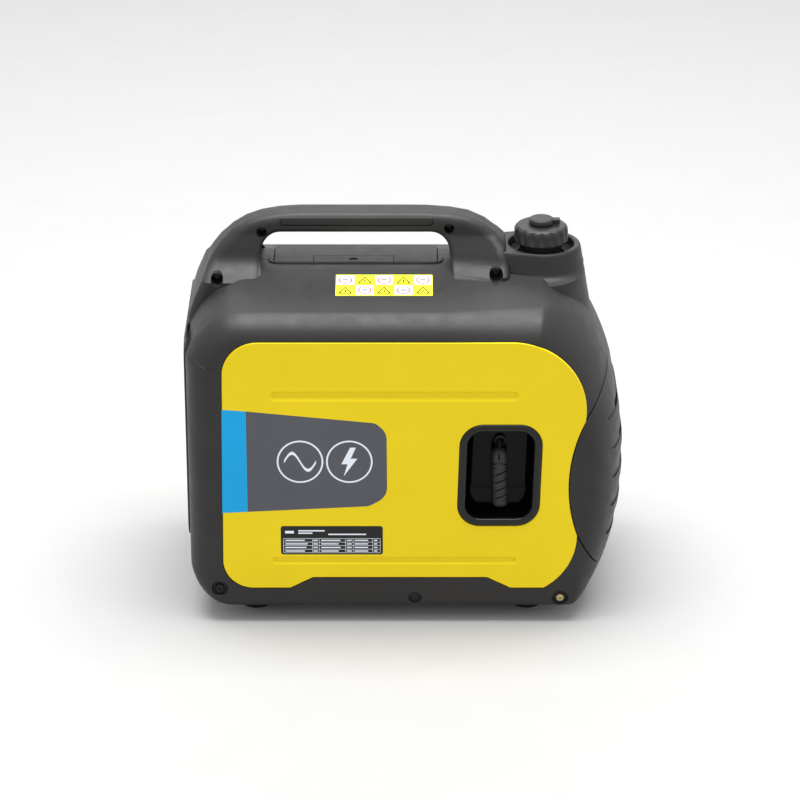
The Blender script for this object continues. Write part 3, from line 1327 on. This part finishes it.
def engine_switch():
    """The three-position engine switch: a knob with a raised bar, on a shaft through the panel."""
    y, z, radius = SWITCH
    face = plate_face() - RUN_GAP
    low = face - 0.006
    profile = [
        (0, low), (radius - 0.002, low), (radius, face), (SWITCH_SHAFT, face),
        (SWITCH_SHAFT, face + 0.010), (0, face + 0.010),
    ]
    made = piece("engine_switch", turned(profile, (0, y, z), (1, 0, 0), 18), "red_plastic", (face, y, z))
    grip = (low - 0.0035, y - 0.0035, z - radius + 0.004)
    unite(made, block(grip, (low + 0.002, y + 0.0035, z + radius - 0.004)))


def indicator_strip():
    y, z, wide, tall = SQUARE_FITTINGS["indicator_strip"]
    made = square_fitting("indicator_strip", "panel_lens", 0.010)
    for shift in (-0.011, 0, 0.011):
        unite(made, rod((0, y, z + shift), (1, 0, 0), 0.003, plate_face() - 0.0032, plate_face() - 0.001, 12))


def earth_terminal():
    """The earth stud with its nut, one fixed fastener."""
    y, z, radius = ROUND_FITTINGS["earth_terminal"]
    made = flanged("earth_terminal", y, z, radius, 0.012, "steel", 0.001)
    face = plate_face()
    unite(made, rod((0, y, z), (1, 0, 0), radius - 0.001, face - 0.0065, face - 0.0012, 6))
    unite(made, rod((0, y, z), (1, 0, 0), 0.0025, face - 0.0100, face - 0.001, 10))


def inverter_module():
    """The inverter in its finned case, behind the control panel."""
    low = CASE_BOTTOM + WALL + TOUCH_GAP + TRAY_THICK + TOUCH_GAP
    left, right = INVERTER_X
    bm = block((left, -INVERTER_HALF, low), (right, INVERTER_HALF, low + 0.070))
    made = piece("inverter_module", bm, "cast_aluminium")
    for index in range(6):
        y = -INVERTER_HALF + 0.012 + index * (2 * INVERTER_HALF - 0.024) / 6
        cut(made, block((left - 0.01, y, low + 0.035), (right + 0.01, y + 0.016, low + 0.08)))


def ignition_coil():
    """The coil beside the flywheel, on its post from the engine's face."""
    x, z = leg_spot(COIL_ANGLE)
    bm = block((x - 0.016, -0.045, z - 0.015), (x + 0.005, -0.020, z + 0.015))
    made = piece("ignition_coil", bm, "black_rubber")
    unite(made, block((x - 0.010, -0.022, z - 0.006), (x + 0.006, CASE_Y[0] - TOUCH_GAP, z + 0.006)))


def oil_filler_cap():
    """The oil dipstick's cap, which screws into the boss low on the engine's rear."""
    profile = [(0, -0.014), (0.0085, -0.014), (0.0085, 0.0), (0.0150, 0.0), (0.0150, 0.006), (0, 0.006)]
    bm = turned(profile, OIL_FILLER, OIL_WAY, 20)
    made = piece("oil_filler_cap", bm, "charcoal_plastic", OIL_FILLER)
    bar = block((-0.013, -0.0025, 0.005), (0.013, 0.0025, 0.013))
    turn = Vector((0, 0, 1)).rotation_difference(OIL_WAY).to_matrix().to_4x4()
    bar.transform(Matrix.Translation(OIL_FILLER) @ turn)
    unite(made, bar)


def casing_screws():
    """The two corner screws on the front's lower edge that hold the casing's halves together."""
    low_corners = screw_places()[4], screw_places()[6]
    for name, (x, z, radius) in zip(("casing_screw_left", "casing_screw_right"), low_corners):
        floor = sink_floor(x, z) - TOUCH_GAP
        head = radius * 0.62
        profile = [
            (0, floor), (head, floor), (head, floor - 0.002), (head * 0.7, floor - 0.003), (0, floor - 0.003),
        ]
        made = piece(name, turned(profile, (x, 0, z), (0, 1, 0), 16), "steel")
        cut(made, rod((x, 0, z), (0, 1, 0), head * 0.4, -0.2, floor - 0.0015, 6))


def main():
    clear_scene()
    front_casing()
    rear_casing()
    base_tray()
    feet()
    front_panel()
    service_cover()
    cover_lock()
    outlet_cover()
    outlet_grille()
    starter_bezel()
    starter_grip()
    starter_cord()
    recoil_housing()
    recoil_reel()
    flywheel_rotor()
    crankshaft()
    stator()
    crankcase()
    cylinder()
    cylinder_head()
    spark_plug()
    plug_cap()
    carburettor()
    air_cleaner()
    muffler()
    exhaust_pipe()
    engine_mounts()
    ignition_coil()
    oil_filler_cap()
    fuel_tank()
    fuel_hose()
    filler_surround()
    cap_gasket()
    fuel_cap()
    vent_knob()
    top_lid()
    lid_latch()
    control_frame()
    control_panel()
    ac_sockets()
    socket_covers()
    dc_socket()
    usb_socket()
    eco_switch()
    breakers()
    engine_switch()
    indicator_strip()
    earth_terminal()
    inverter_module()
    casing_screws()


main()
